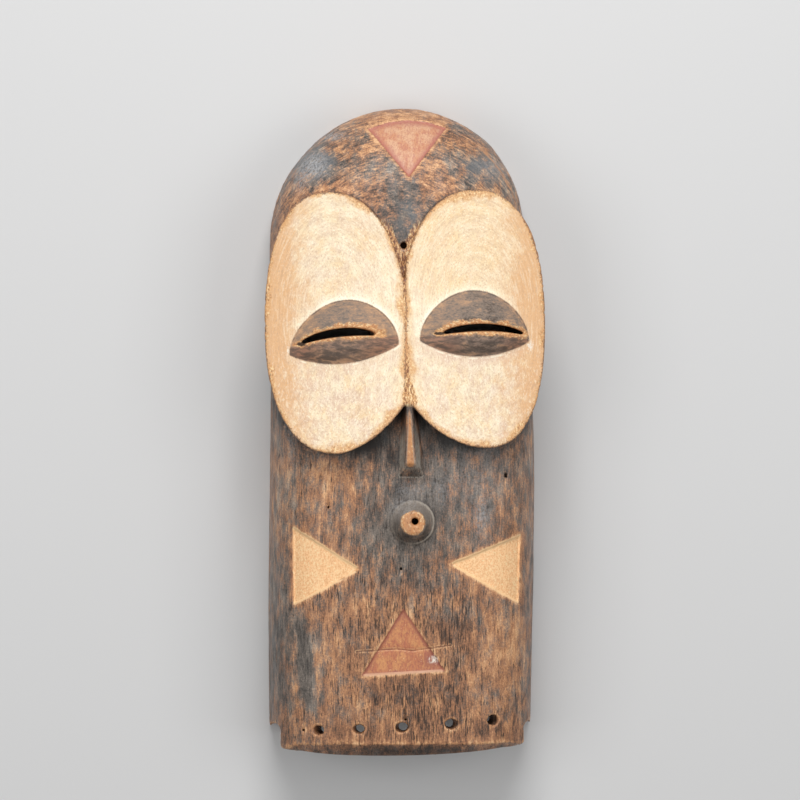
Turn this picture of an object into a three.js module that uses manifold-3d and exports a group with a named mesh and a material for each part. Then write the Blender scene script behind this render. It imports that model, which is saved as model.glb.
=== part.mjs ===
// An owl mask carved from one block of wood. It lies on its back rim with the face up.
// X runs to the viewer's right, Y to the crown and Z out of the face. Sizes are in millimetres.

import * as THREE from 'three';
import { mergeVertices } from 'three/addons/utils/BufferGeometryUtils.js';
import { ConvexGeometry } from 'three/addons/geometries/ConvexGeometry.js';
import Module from 'manifold-3d';

const wasm = await Module();
wasm.setup();

// The blank is a long board, bowed across, with a round domed head
const maskLength = 450;
const archRadius = 90;
const archX = -3.5;
const archSkew = 0.02;
const boardBulge = { height: 4, turn: 0.83 };
const chinX = -1.5;
const bendY = -15;
const browY = 20;
const browDepth = 100;
const chinDepth = 92;
const crownDepth = 80;
const crownFall = 2.08;
const sideDraft = 0.045;

// A section's curve is a power oval, squarer on the board than on the dome
const section = { boardY: 20, domeY: 150, boardFull: 4.5, domeFull: 3.2, boardRound: 4, domeRound: 3.6 };

// Walls left round the hollow
const sideWall = 16;
const frontWall = 14;
const pastRim = 5;
const pastChin = 20;

const crownY = maskLength / 2;
const chinY = -maskLength / 2;
const springY = crownY - archRadius;

// The eye discs are tilted back at the top and bowed round the face
const ridgeDepth = 117;
const ridgeFootY = 17.7;
const discTilt = 0.13;
const discBow = 200;
const discDish = { depth: 4, across: 50, up: 90 };
const discSquareness = 2.25;
const discEdge = { lip: 6, under: 20, underInset: 11, foot: 50, footInset: 15 };
const discs = [
  {
    side: -1, x: -48.5, y: 72.6, half: 89.6, outer: 48,
    innerTop: 49, innerFoot: 66.6, squareFoot: 1.75, leanTop: -4, leanFoot: 0,
  },
  {
    side: 1, x: 48.5, y: 75.6, half: 88.4, outer: 48,
    innerTop: 52, innerFoot: 63.2, squareFoot: 2, leanTop: 1, leanFoot: 6,
  },
];

// Each eye is a bulge with its crest along a slit. The outer corner comes first, then the inner one
const lidCrest = 10;
const lidPowers = { above: 0.5, below: 0.8, along: 0.6, across: 0.85 };
const eyes = [
  {
    disc: discs[0],
    lids: { from: [-79.2, 50.6], to: [-4.6, 57.6], above: 34, below: -9.8 },
    slit: { from: [-72.5, 56.6], to: [-15.5, 62.8], above: 8.3, below: 2 },
    back: { from: [-72.5, 57.5], to: [-30, 64.5], above: 8.3, below: 3.2 },
  },
  {
    disc: discs[1],
    lids: { from: [85.2, 60], to: [9.4, 60.2], above: 34.8, below: -10.8 },
    slit: { from: [83, 63], to: [21.3, 63.6], above: 7.9, below: 1.4 },
    back: { from: [83, 64], to: [31, 65], above: 8.5, below: 6 },
  },
];
const slitRun = { backZ: 40, frontZ: 135 };

const nose = {
  rootX: 2, rootHalf: 1.2, rootFoot: 3.6, tipX: 3.1, tipY: -23.5, tipDepth: 114, tipHalf: 3.2,
  baseX: 4.4, baseY: -34, baseHalf: 9.6, sunk: 3,
};
const mouth = {
  x: 4.8, y: -63.7, foot: 15, tip: 8.3, height: 15, sunk: 6,
  boreX: 6.2, boreY: -62.6, bore: 2.5, boreDepth: 22,
};

// Sunk triangles: brow and chin are red, the two on the cheeks are pale
const inlayDepth = 1.3;
const inlays = [
  { corners: [[-24.9, 207.2], [2.8, 172.4], [29.3, 208.4]], crown: 213.5 },
  { corners: [[-1.3, -122.6], [-29.9, -168.8], [27.2, -165.6]] },
  { corners: [[-77, -67.5], [-76.4, -120.6], [-31.6, -96]] },
  { corners: [[79.8, -73.2], [31, -92.3], [78.5, -120]] },
];

// Holes burnt through the lower edge for a fringe, wide in front and narrow behind
const tieHole = { half: 4.9, tall: 3.6, back: 2.9, past: 12 };
const tieHoles = [
  { x: -60.9, y: -206.4, shift: 6.6 },
  { x: -32.1, y: -205.4, shift: 2.1 },
  { x: -2.8, y: -204.4, shift: 2.1 },
  { x: 32.5, y: -202.2, shift: -2.1 },
  { x: 62.4, y: -199.8, shift: -6.6 },
];
const crownHole = { x: -1, y: 125.5, radius: 2.7, depth: 12 };

// The outermost holes broke out, and the side wall's lower corner went with them
const brokenHole = { radius: 3.6, wallInset: 3.3, wallDrop: 0.7 };
const brokenHoles = [{ x: -88.4, y: -209 }, { x: 86, y: -207.5 }];

// The lower edge is a shallow smile, cut back at a slant in front, above a straight border
const chinEnd = { curve: 4.5, lean: 0.167, half: 80, slant: 5, bevelY: -215.5, bevelDepth: 10.5 };

// Cutters reach this far past what they cut
const clear = 30;

const { lerp, clamp, smoothstep } = THREE.MathUtils;
const steps = (count, at) => Array.from({ length: count }, (_, k) => at(k));
const turn = (k, count) => (2 * Math.PI * k) / count;

function solid(geometry) {
  geometry.deleteAttribute('normal');
  geometry.deleteAttribute('uv');
  const merged = mergeVertices(geometry, 1e-4);
  const kept = [];
  for (let i = 0; i < merged.index.count; i += 3) {
    const [a, b, c] = [0, 1, 2].map((k) => merged.index.getX(i + k));
    if (a !== b && b !== c && c !== a) kept.push(a, b, c);
  }
  const build = (triangles) => new wasm.Manifold(new wasm.Mesh({
    numProp: 3,
    vertProperties: new Float32Array(merged.attributes.position.array),
    triVerts: new Uint32Array(triangles),
  }));
  const made = build(kept);
  return made.volume() > 0 ? made : build(kept.reverse());
}

// Joins rings of points into one closed surface. The first and last rings fold to a point or a line
function skin(rings) {
  const around = rings[0].length;
  const faces = [];
  for (let i = 0; i + 1 < rings.length; i += 1) {
    for (let j = 0; j < around; j += 1) {
      const next = (j + 1) % around;
      const [low, high] = [i * around, (i + 1) * around];
      faces.push(low + j, low + next, high + next, low + j, high + next, high + j);
    }
  }
  const points = rings.flat().flatMap((p) => [p.x, p.y, p.z]);
  const geometry = new THREE.BufferGeometry();
  geometry.setAttribute('position', new THREE.Float32BufferAttribute(points, 3));
  geometry.setIndex(faces);
  return solid(geometry);
}

function depthAt(y) {
  if (y > browY) return lerp(browDepth, crownDepth, ((y - browY) / (crownY - browY)) ** crownFall);
  return lerp(browDepth, chinDepth, ((browY - y) / (browY - chinY)) ** 2);
}

function halfWidthAt(y) {
  const down = (springY - y) / (springY - chinY);
  return archRadius + boardBulge.height * Math.sin(Math.PI * boardBulge.turn * down);
}

function middleAt(y) {
  return archX * smoothstep(y, bendY, springY) + chinX * (1 - smoothstep(y, chinY, bendY));
}

// The front's height over the rim, from 1 in the middle to 0 at the edge
function riseAt(share, y) {
  const dome = smoothstep(y, section.boardY, section.domeY);
  const full = lerp(section.boardFull, section.domeFull, dome);
  const round = lerp(section.boardRound, section.domeRound, dome);
  return (1 - Math.min(share, 1) ** full) ** (1 / round);
}

function frontAt(x, y) {
  const onDome = Math.hypot(x - archX, y - springY) / archRadius;
  const onBoard = Math.abs(x - middleAt(y)) / halfWidthAt(y);
  return depthAt(y) * riseAt(y > springY ? onDome : onBoard, y);
}

// Stations go up the left side, over the arch and down the right side
const boardSteps = 13;
const archSteps = 26;
function stations() {
  const board = (side, step) => {
    const y = lerp(chinY, springY, step / boardSteps);
    return { foot: [middleAt(y), y], out: [side, 0], reach: halfWidthAt(y), chin: step === 0 };
  };
  const left = steps(boardSteps, (step) => board(-1, step));
  const right = steps(boardSteps, (step) => board(1, boardSteps - 1 - step));
  const arch = steps(archSteps + 1, (step) => {
    const angle = Math.PI * (1 - step / archSteps);
    const reach = archRadius * (1 + archSkew * Math.sin(2 * angle));
    return { foot: [archX, springY], out: [Math.cos(angle), Math.sin(angle)], reach };
  });
  return [...left, ...arch, ...right];
}

// The domed board, or the same form taken in from it by a wall's thickness
const shares = [1, 0.99, 0.97, 0.94, 0.9, 0.85, 0.78, 0.68, 0.54, 0.36, 0.18, 0];
function board({ side = 0, front = 0, floor = 0, beyond }) {
  const place = ({ foot, out, reach, chin }, share, draft) => {
    const along = (reach - side) * share;
    const y = foot[1] + out[1] * along - (chin ? beyond : 0);
    const height = riseAt(share, y);
    const x = foot[0] + out[0] * along * (1 - draft * height * Math.abs(out[0]));
    return new THREE.Vector3(x, y, (depthAt(y) - front) * height);
  };
  const ring = (share) => stations().map((station) => place(station, share, sideDraft));
  const base = (share) => stations().map((station) => place(station, share, 0).setZ(floor));
  return skin([base(0), base(1), ...shares.map(ring)]);
}

function discDepthAt(disc, x, y) {
  const bow = discBow - Math.sqrt(discBow ** 2 - x ** 2);
  const out = ((x - disc.x) / discDish.across) ** 2 + ((y - disc.y) / discDish.up) ** 2;
  return ridgeDepth - bow - discTilt * (y - ridgeFootY) - discDish.depth * Math.max(0, 1 - out);
}

// A rounded oval with a fuller inner half, which is drawn out towards the nose at its foot
function discPoint(disc, angle, rho) {
  const [across, up] = [Math.cos(angle), Math.sin(angle)];
  const inner = across * disc.side < 0;
  const high = smoothstep(up, -0.55, 0.35);
  const square = inner ? lerp(disc.squareFoot, discSquareness, high) : discSquareness;
  const half = inner ? lerp(disc.innerFoot, disc.innerTop, high) : disc.outer;
  const u = Math.sign(across) * Math.abs(across) ** (2 / square);
  const v = Math.sign(up) * Math.abs(up) ** (2 / square);
  const lean = (v > 0 ? disc.leanTop : disc.leanFoot) * v * v;
  return [disc.x + rho * (u * half + lean), disc.y + rho * v * disc.half];
}

const discSteps = 64;
const discRings = [0, 0.3, 0.55, 0.75, 0.9, 1];
function discRing(disc, rho, drop, inset = 0) {
  return steps(discSteps, (j) => {
    const [x, y] = discPoint(disc, turn(j, discSteps), rho);
    const inwards = new THREE.Vector2(disc.x - x, disc.y - y).setLength(inset);
    return new THREE.Vector3(x + inwards.x, y + inwards.y, discDepthAt(disc, x, y) - drop);
  });
}

// A dished plate, its lip, and a foot drawn in towards the blank
function eyeDisc(disc) {
  const plate = skin([
    ...discRings.map((rho) => discRing(disc, rho, 0)),
    discRing(disc, 1, discEdge.lip),
    discRing(disc, 1, discEdge.under, discEdge.underInset),
    discRing(disc, 1, discEdge.foot, discEdge.footInset),
    discRing(disc, 0, discEdge.foot),
  ]);
  return plate.trimByPlane([disc.side, 0, 0], 0);
}

// The part of the blank that would stand in front of a disc
function discClearance(disc) {
  const behind = 2;
  const cutter = skin([
    ...discRings.map((rho) => discRing(disc, rho, behind)),
    discRing(disc, 1, -clear),
    discRing(disc, 0, -clear),
  ]);
  return cutter.trimByPlane([disc.side, 0, 0], 0);
}

// A lens between two corners, as a closed loop that knows its share of the way along
const lensSteps = 20;
function lens({ from, to, above, below }) {
  const point = (step, height, power) => {
    const s = (1 - Math.cos((Math.PI * step) / lensSteps)) / 2;
    const y = lerp(from[1], to[1], s) + height * Math.sin(Math.PI * s) ** power;
    return { s, x: lerp(from[0], to[0], s), y };
  };
  const upper = steps(lensSteps + 1, (k) => point(k, above, lidPowers.above));
  const lower = steps(lensSteps - 1, (k) => point(lensSteps - 1 - k, below, lidPowers.below));
  return [...upper, ...lower];
}

// Closes a lens by bringing each point to the middle between it and the one across
function folded(loop) {
  return loop.map((p, j) => p.clone().add(loop[(loop.length - j) % loop.length]).multiplyScalar(0.5));
}

function lids({ disc, lids: outline, slit }) {
  const outer = lens(outline);
  const crest = lens(slit);
  const ring = (share, sunk = 0) => outer.map(({ s, x: outerX, y: outerY }, j) => {
    const x = lerp(outerX, crest[j].x, share);
    const y = lerp(outerY, crest[j].y, share);
    const along = Math.max(Math.sin(Math.PI * s), 0) ** lidPowers.along;
    const across = Math.sin((Math.PI / 2) * share) ** lidPowers.across;
    return new THREE.Vector3(x, y, discDepthAt(disc, x, y) + lidCrest * along * across - sunk);
  });
  const [foot, edge, top] = [ring(0, 12), ring(0, 0.6), ring(1)];
  return skin([folded(foot), foot, edge, ring(0.25), ring(0.5), ring(0.75), top, folded(top)]);
}

// Each slit narrows on its way back through the wall
function slitCutter({ slit, back }) {
  const level = (outline, z) => lens(outline).map(({ x, y }) => new THREE.Vector3(x, y, z));
  const [inside, outside] = [level(back, slitRun.backZ), level(slit, slitRun.frontZ)];
  return skin([folded(inside), inside, outside, folded(outside)]);
}

function noseWedge() {
  const face = frontAt(nose.baseX, nose.baseY) - nose.sunk;
  const rootY = ridgeFootY + 4.5;
  const pair = (x, half, y, z) => [new THREE.Vector3(x - half, y, z), new THREE.Vector3(x + half, y, z)];
  return solid(new ConvexGeometry([
    ...pair(nose.rootX, nose.rootHalf, rootY, ridgeDepth - 1),
    ...pair(nose.tipX, nose.tipHalf, nose.tipY, nose.tipDepth),
    ...pair(nose.baseX, nose.baseHalf, nose.baseY, face),
    ...pair(nose.rootX, nose.rootFoot, rootY, face),
  ]));
}

function mouthStub() {
  const { foot, tip, height, sunk } = mouth;
  const profile = [
    [0, -sunk], [foot, -sunk], [foot, 0.3], [foot - 1, 1.4], [foot - 2.6, 3.6],
    [tip + 1.4, height * 0.7], [tip, height - 0.8], [tip - 1, height], [0, height],
  ].map(([r, z]) => new THREE.Vector2(r, z));
  const stub = new THREE.LatheGeometry(profile, 40);
  stub.rotateX(Math.PI / 2);
  return solid(stub.translate(mouth.x, mouth.y, frontAt(mouth.x, mouth.y)));
}

// A round bore along Z, centred on the height given
function drill({ x, y, z, radius, half }) {
  const bore = new THREE.CylinderGeometry(radius, radius, half * 2, 20);
  bore.rotateX(Math.PI / 2);
  return solid(bore.translate(x, y, z));
}

// A triangle sunk to an even depth below the bowed face
function inlayPocket({ corners, crown }, core) {
  const [first, , last] = corners;
  const shape = new THREE.Shape(corners.map(([x, y]) => new THREE.Vector2(x, y)));
  if (crown) shape.quadraticCurveTo((first[0] + last[0]) / 2, 2 * crown - first[1], ...first);
  const prism = new THREE.ExtrudeGeometry(shape, { depth: 100, bevelEnabled: false, curveSegments: 8 });
  return solid(prism.translate(0, 0, 40)).subtract(core);
}

function tieHoleCutter({ x, y, shift }) {
  const around = 20;
  const face = frontAt(x, y);
  const oval = (middle, z, half, tall) => steps(around, (j) => {
    const angle = turn(j, around);
    return new THREE.Vector3(middle + half * Math.cos(angle), y + tall * Math.sin(angle), z);
  });
  const { half, tall, back, past } = tieHole;
  const [front, inside] = [face + 4, face - frontWall];
  return skin([
    oval(x, front, 0, 0),
    oval(x, front, half, tall),
    oval(x + shift, inside, back, back),
    oval(x + shift, inside - past, back, back),
    oval(x + shift, inside - past, 0, 0),
  ]);
}

function brokenCorner({ x, y }) {
  const { radius, wallInset, wallDrop } = brokenHole;
  const hole = drill({ x, y, z: 0, radius, half: 120 });
  const lost = new THREE.BoxGeometry(40, 60, 240);
  lost.translate(x + Math.sign(x) * (20 - wallInset), y - wallDrop - 30, 0);
  return hole.add(solid(lost));
}

function chinCutter() {
  const slices = steps(17, (k) => {
    const x = lerp(-100, 100, k / 16);
    const share = clamp(x / chinEnd.half, -1.1, 1.1);
    const end = chinY + chinEnd.curve * (share + chinEnd.lean) ** 2;
    const face = frontAt(clamp(x, -82, 82), chinEnd.bevelY);
    const corners = [
      [chinEnd.bevelY, face + clear], [chinEnd.bevelY, face], [end, face - chinEnd.bevelDepth],
      [end + chinEnd.slant, -pastRim], [chinY - clear, -pastRim], [chinY - clear, face + clear],
    ];
    return corners.map(([y, z]) => new THREE.Vector3(x, y, z));
  });
  const fold = (slice) => slice.map(() => new THREE.Vector3(slice[0].x, chinY - clear / 2, browDepth));
  return skin([fold(slices[0]), ...slices, fold(slices.at(-1))]);
}

function carveMask() {
  const blank = board({ beyond: pastChin / 2 });
  const hollow = board({ side: sideWall, front: frontWall, floor: -pastRim, beyond: pastChin });
  const inlayFloor = board({ side: inlayDepth, front: inlayDepth, beyond: pastRim });
  const mouthFront = frontAt(mouth.x, mouth.y) + mouth.height;
  const crownFront = frontAt(crownHole.x, crownHole.y);
  let mask = blank;
  for (const inlay of inlays) mask = mask.subtract(inlayPocket(inlay, inlayFloor));
  for (const disc of discs) mask = mask.subtract(discClearance(disc)).add(eyeDisc(disc));
  for (const eye of eyes) mask = mask.add(lids(eye));
  mask = mask.add(noseWedge()).add(mouthStub()).subtract(hollow);
  const cutters = [
    ...eyes.map(slitCutter),
    ...tieHoles.map(tieHoleCutter),
    ...brokenHoles.map(brokenCorner),
    drill({ x: mouth.boreX, y: mouth.boreY, z: mouthFront, radius: mouth.bore, half: mouth.boreDepth }),
    drill({ ...crownHole, z: crownFront, half: crownHole.depth }),
    chinCutter(),
  ];
  for (const cutter of cutters) mask = mask.subtract(cutter);
  return mask.simplify(0.02);
}

function geometryOf(made) {
  const { vertProperties, triVerts } = made.getMesh();
  const geometry = new THREE.BufferGeometry();
  geometry.setAttribute('position', new THREE.BufferAttribute(vertProperties, 3));
  geometry.setIndex(new THREE.BufferAttribute(triVerts, 1));
  return geometry;
}

const paintedWood = new THREE.MeshStandardMaterial({ color: 0x4a3a2e, roughness: 0.62, metalness: 0 });
const mask = new THREE.Mesh(geometryOf(carveMask()), paintedWood);
mask.name = 'mask';

const owlMask = new THREE.Group();
owlMask.add(mask);
export default owlMask;
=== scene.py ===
import math

import bpy
import numpy as np
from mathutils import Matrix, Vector


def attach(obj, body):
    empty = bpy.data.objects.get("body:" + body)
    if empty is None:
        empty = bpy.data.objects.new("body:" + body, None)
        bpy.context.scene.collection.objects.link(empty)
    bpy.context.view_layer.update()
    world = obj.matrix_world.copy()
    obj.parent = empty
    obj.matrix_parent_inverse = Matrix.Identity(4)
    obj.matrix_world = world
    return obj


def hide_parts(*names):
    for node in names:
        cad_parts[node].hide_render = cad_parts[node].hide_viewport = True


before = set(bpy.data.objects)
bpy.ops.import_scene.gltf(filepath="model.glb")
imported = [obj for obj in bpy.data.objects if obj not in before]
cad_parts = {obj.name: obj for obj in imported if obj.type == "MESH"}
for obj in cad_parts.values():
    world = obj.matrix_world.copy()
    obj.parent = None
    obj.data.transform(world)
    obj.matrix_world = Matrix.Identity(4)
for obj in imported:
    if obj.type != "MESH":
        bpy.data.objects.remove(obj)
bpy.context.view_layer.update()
mm = 0.001
print("frame loaded")

# The carver's own measures, in mm, as the solid has them
blank = {
    "crownY": 225, "chinY": -225, "springY": 135, "archRadius": 90, "archX": -3.5, "archSkew": 0.02,
    "bulge": 4, "bulgeTurn": 0.83, "chinX": -1.5, "bendY": -15, "browY": 20,
    "browDepth": 100, "chinDepth": 92, "crownDepth": 80, "crownFall": 2.08, "draft": 0.045,
    "boardY": 20, "domeY": 150, "boardFull": 4.5, "domeFull": 3.2, "boardRound": 4, "domeRound": 3.6,
    "sideWall": 16, "frontWall": 14,
}
plate = {"ridgeDepth": 117, "footY": 17.7, "tilt": 0.13, "bow": 200, "dish": 4, "across": 50, "up": 90,
         "square": 2.25}
discs = [
    {"side": -1, "x": -48.5, "y": 72.6, "half": 89.6, "outer": 48, "innerTop": 49, "innerFoot": 66.6,
     "squareFoot": 1.75, "leanTop": -4, "leanFoot": 0},
    {"side": 1, "x": 48.5, "y": 75.6, "half": 88.4, "outer": 48, "innerTop": 52, "innerFoot": 63.2,
     "squareFoot": 2, "leanTop": 1, "leanFoot": 6},
]
lensPowers = {"above": 0.5, "below": 0.8}
lids = [
    {"from": (-79.2, 50.6), "to": (-4.6, 57.6), "above": 34, "below": -9.8},
    {"from": (85.2, 60), "to": (9.4, 60.2), "above": 34.8, "below": -10.8},
]
slits = [
    {"from": (-72.5, 56.6), "to": (-15.5, 62.8), "above": 8.3, "below": 2},
    {"from": (83, 63), "to": (21.3, 63.6), "above": 7.9, "below": 1.4},
]
nose = {"root": (2.4, 18.7), "tip": (3.1, -23.5), "rootHalf": 0.6, "tipHalf": 3.2,
        "flanks": [(-2.2, -4), (-3.6, -27), (-4.6, -33), (12.4, -33), (8.6, -21)]}
ridgeLine = [(-1.5, 118), (-0.8, 88), (0.4, 60), (1.2, 40), (2.6, 19)]
mouth = {"x": 4.8, "y": -63.7, "foot": 15, "ring": 21}
inlays = {
    "brow": [[(-24.9, 207.2), (2.8, 172.4), (29.3, 208.4), (15.8, 212.6), (2.2, 213.8), (-11.4, 212)]],
    "chin": [[(-1.3, -122.6), (-29.9, -168.8), (27.2, -165.6)]],
    "cheek": [[(-77, -67.5), (-76.4, -120.6), (-31.6, -96)], [(79.8, -73.2), (31, -92.3), (78.5, -120)]],
}
inlayDepth = 1.3


def lerp(a, b, share):
    return a + (b - a) * share


def smoothstep(value, low, high):
    share = np.clip((value - low) / (high - low), 0, 1)
    return share * share * (3 - 2 * share)


def depthAt(y):
    up = np.clip((y - blank["browY"]) / (blank["crownY"] - blank["browY"]), 0, None)
    down = np.clip((blank["browY"] - y) / (blank["browY"] - blank["chinY"]), 0, None)
    crown = lerp(blank["browDepth"], blank["crownDepth"], up ** blank["crownFall"])
    chin = lerp(blank["browDepth"], blank["chinDepth"], down ** 2)
    return np.where(y > blank["browY"], crown, chin)


def halfWidthAt(y):
    down = (blank["springY"] - y) / (blank["springY"] - blank["chinY"])
    return blank["archRadius"] + blank["bulge"] * np.sin(math.pi * blank["bulgeTurn"] * down)


def middleAt(y):
    top = blank["archX"] * smoothstep(y, blank["bendY"], blank["springY"])
    return top + blank["chinX"] * (1 - smoothstep(y, blank["chinY"], blank["bendY"]))


# Zero on the skin of the domed board, or on the same form taken in by side and front
def blankField(points, side, front):
    x, y, z = points.T
    dome = smoothstep(y, blank["boardY"], blank["domeY"])
    full = lerp(blank["boardFull"], blank["domeFull"], dome)
    bend = lerp(blank["boardRound"], blank["domeRound"], dome)
    height = np.clip(z / (depthAt(y) - front), 0, None)
    up = np.maximum(y - blank["springY"], 0)
    domed = y > blank["springY"]
    across = x - np.where(domed, blank["archX"], middleAt(y))
    lean = 1 - blank["draft"] * height * np.abs(np.cos(np.arctan2(up, across)))
    across = across / lean
    angle = np.arctan2(up, across)
    arch = blank["archRadius"] * (1 + blank["archSkew"] * np.sin(2 * angle))
    reach = np.where(domed, arch, halfWidthAt(y)) - side
    return (np.hypot(across, up) / reach) ** full + height ** bend - 1


# How far, and which way, each point lies from that skin
def blankGap(points, side, front):
    step = 0.05
    here = blankField(points, side, front)
    slope = np.stack([(blankField(points + shift, side, front) - here) / step
                      for shift in np.eye(3) * step], 1)
    steep = np.maximum(np.linalg.norm(slope, axis=1), 1e-9)
    return here / steep, slope / steep[:, None]


def plateDepth(disc, x, y):
    bow = plate["bow"] - np.sqrt(np.maximum(plate["bow"] ** 2 - x ** 2, 1))
    out = ((x - disc["x"]) / plate["across"]) ** 2 + ((y - disc["y"]) / plate["up"]) ** 2
    dish = plate["dish"] * np.maximum(1 - out, 0)
    return plate["ridgeDepth"] - bow - plate["tilt"] * (y - plate["footY"]) - dish


def discOutline(disc):
    count = 120
    angle = np.arange(count) * 2 * math.pi / count
    across, up = np.cos(angle), np.sin(angle)
    inner = across * disc["side"] < 0
    high = smoothstep(up, -0.55, 0.35)
    square = np.where(inner, lerp(disc["squareFoot"], plate["square"], high), plate["square"])
    half = np.where(inner, lerp(disc["innerFoot"], disc["innerTop"], high), disc["outer"])
    u = np.sign(across) * np.abs(across) ** (2 / square)
    v = np.sign(up) * np.abs(up) ** (2 / square)
    lean = np.where(v > 0, disc["leanTop"], disc["leanFoot"]) * v * v
    return np.stack([disc["x"] + u * half + lean, disc["y"] + v * disc["half"]], 1)


def lensOutline(lens):
    count = 28
    share = (1 - np.cos(math.pi * np.arange(count + 1) / count)) / 2
    rows = []
    for side in ("above", "below"):
        x = lerp(lens["from"][0], lens["to"][0], share)
        swell = lens[side] * np.maximum(np.sin(math.pi * share), 0) ** lensPowers[side]
        rows.append(np.stack([x, lerp(lens["from"][1], lens["to"][1], share) + swell], 1))
    return np.concatenate([rows[0], rows[1][-2:0:-1]])


# Distance in mm from an outline seen from the front, positive inside it
def inset(points, outline):
    reach = 14
    outline = np.array(outline, float)
    low, high = outline.min(0) - reach, outline.max(0) + reach
    close = np.all((points[:, :2] > low) & (points[:, :2] < high), axis=1)
    x, y = points[close, 0], points[close, 1]
    best = np.full(len(x), 1e6)
    inside = np.zeros(len(x), bool)
    for (ax, ay), (bx, by) in zip(outline, np.roll(outline, -1, 0)):
        dx, dy = bx - ax, by - ay
        along = np.clip(((x - ax) * dx + (y - ay) * dy) / (dx * dx + dy * dy), 0, 1)
        best = np.minimum(best, (x - ax - along * dx) ** 2 + (y - ay - along * dy) ** 2)
        if ay != by:
            inside ^= ((ay > y) != (by > y)) & (x < dx * (y - ay) / dy + ax)
    distance = np.full(len(points), -float(reach))
    distance[close] = np.maximum(np.where(inside, 1, -1) * np.sqrt(best), -reach)
    return distance


def fromLine(points, start, end):
    start, end = np.array(start, float), np.array(end, float)
    run = end - start
    along = np.clip(((points[:, :2] - start) @ run) / (run @ run), 0, 1)
    return np.linalg.norm(points[:, :2] - start - along[:, None] * run, axis=1), along


def fromLines(points, corners):
    return np.min([fromLine(points, start, end)[0] for start, end in zip(corners, corners[1:])], axis=0)


# Smooth random values from -1 to 1, with features of the size given along x, y and z
def woodNoise(points, size, seed):
    table = np.random.default_rng(seed).random(4096) * 2 - 1
    scaled = points / np.array(size, float) + seed * 17.31
    cell = np.floor(scaled).astype(np.int64)
    share = scaled - cell
    share = share * share * (3 - 2 * share)
    total = np.zeros(len(points))
    for corner in np.ndindex(2, 2, 2):
        weight = np.prod(np.where(corner, share, 1 - share), axis=1)
        i, j, k = (cell + corner).T
        total += weight * table[(i * 73856093 ^ j * 19349663 ^ k * 83492791) & 4095]
    return total


# How deep each point lies in each of the mask's zones, in mm, seen from the front
def zonesOf(points):
    x, y, _ = points.T
    found = {}
    trims = [np.minimum(inset(points, discOutline(disc)), disc["side"] * x) for disc in discs]
    found["disc"] = np.maximum(trims[0], trims[1])
    found["lid"] = np.maximum(*[inset(points, lensOutline(lens)) for lens in lids])
    found["slit"] = np.maximum(*[inset(points, lensOutline(lens)) for lens in slits])
    for name, outlines in inlays.items():
        found[name] = np.max([inset(points, corners) for corners in outlines], axis=0)
    found["inlay"] = np.max([found[name] for name in inlays], axis=0)
    away, along = fromLine(points, nose["root"], nose["tip"])
    found["nose"] = lerp(nose["rootHalf"], nose["tipHalf"], along) - away
    found["mouth"] = np.hypot(x - mouth["x"], y - mouth["y"])
    return found


def readAll(items, name, wide, kind=np.float32):
    flat = np.empty(len(items) * wide, kind)
    items.foreach_get(name, flat)
    return flat.reshape(-1, wide)


def readPoints(piece):
    return readAll(piece.data.vertices, "co", 3).astype(float) / mm


def writePoints(piece, points):
    piece.data.vertices.foreach_set("co", (points * mm).astype(np.float32).ravel())
    piece.data.update()


def readNormals(piece):
    return readAll(piece.data.vertex_normals, "vector", 3).astype(float)


def readEdges(piece):
    return readAll(piece.data.edges, "vertices", 2, np.int32)


# Each point moves towards the middle of its neighbours, by its own share
def relax(points, edges, rounds, share):
    a, b = edges.T
    count = np.bincount(edges.ravel(), minlength=len(points))[:, None]
    for _ in range(rounds):
        total = np.stack([np.bincount(a, points[b, k], len(points))
                          + np.bincount(b, points[a, k], len(points)) for k in range(3)], 1)
        points = points + share * (total / count - points)
    return points


def makeActive(piece):
    bpy.ops.object.select_all(action="DESELECT")
    piece.select_set(True)
    bpy.context.view_layer.objects.active = piece


def applyModifier(piece, kind, **settings):
    makeActive(piece)
    bpy.ops.object.modifier_add(type=kind)
    modifier = piece.modifiers[-1]
    for name, value in settings.items():
        setattr(modifier, name, value)
    bpy.ops.object.modifier_apply(modifier=modifier.name)


# A fine, even skin over the carved solid: its grid, how far and how squarely a point may stand off a true
# curve to be drawn onto it, and how many times the edges are worn down
carving = {
    "voxel": 0.9, "triangles": 190000, "reach": 1.1, "facing": 0.75, "plateReach": 1.2, "plateFacing": 0.6,
    "lidWear": 14, "edgeWear": 3, "wear": 0.5, "inlayKept": 0.7, "foot": (0.3, 1.5),
}


def roughOut(node):
    piece = bpy.data.objects.new("owlMask", node.data.copy())
    bpy.context.scene.collection.objects.link(piece)
    makeActive(piece)
    bpy.ops.object.mode_set(mode="EDIT")
    bpy.ops.mesh.select_all(action="SELECT")
    bpy.ops.mesh.remove_doubles(threshold=1e-6)
    bpy.ops.object.mode_set(mode="OBJECT")
    applyModifier(piece, "REMESH", mode="VOXEL", voxel_size=carving["voxel"] * mm)
    print("roughed out:", len(piece.data.vertices), "points")
    return piece


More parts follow.
